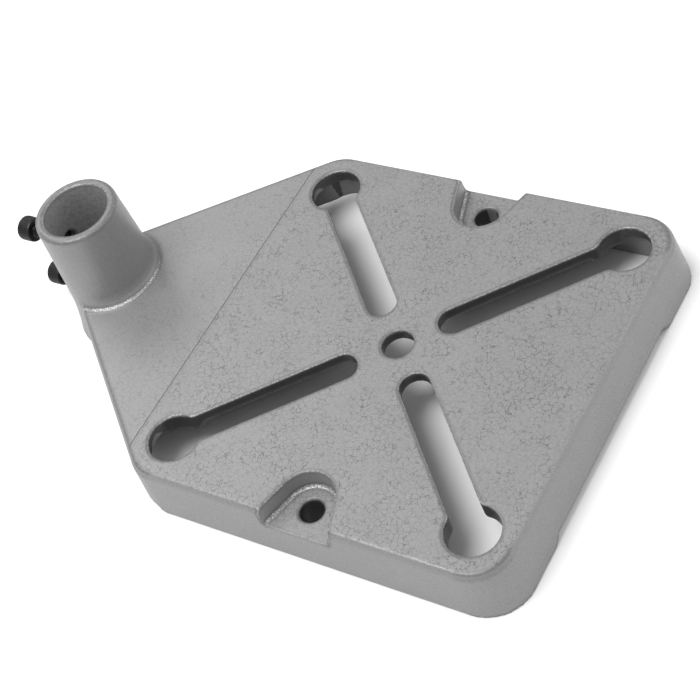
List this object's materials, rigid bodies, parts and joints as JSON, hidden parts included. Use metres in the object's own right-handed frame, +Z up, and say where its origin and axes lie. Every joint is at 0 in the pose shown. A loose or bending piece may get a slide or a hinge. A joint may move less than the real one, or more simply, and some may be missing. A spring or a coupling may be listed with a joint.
{
  "type": "drill stand base",
  "caption": "Cast base of a drill stand: a slotted square table with bench bolt notches, and a tapered extension to an upright column socket with clamp screws.",
  "frame": {"origin": "on the column's axis at the level of the bench", "axes": "+Z up along the column, +Y from the table back to the column and on to the screw heads, +X to the right"},
  "size_m": [0.1604, 0.2482, 0.0575],
  "materials": {
    "casting": "hammered grey enamel",
    "screws": "black oxide"
  },
  "bodies": {
    "base": {"base_casting": "casting"},
    "upper_screw": {"upper_clamp_screw": "screws"},
    "lower_screw": {"lower_clamp_screw": "screws"}
  },
  "joints": [
    {"name": "upper_screw_travel", "type": "slide", "parent": "base", "child": "upper_screw", "axis": [0, -1, 0], "range_m": [-0.002, 0.0125]},
    {"name": "lower_screw_travel", "type": "slide", "parent": "base", "child": "lower_screw", "axis": [0, -1, 0], "range_m": [-0.002, 0.0087]}
  ]
}
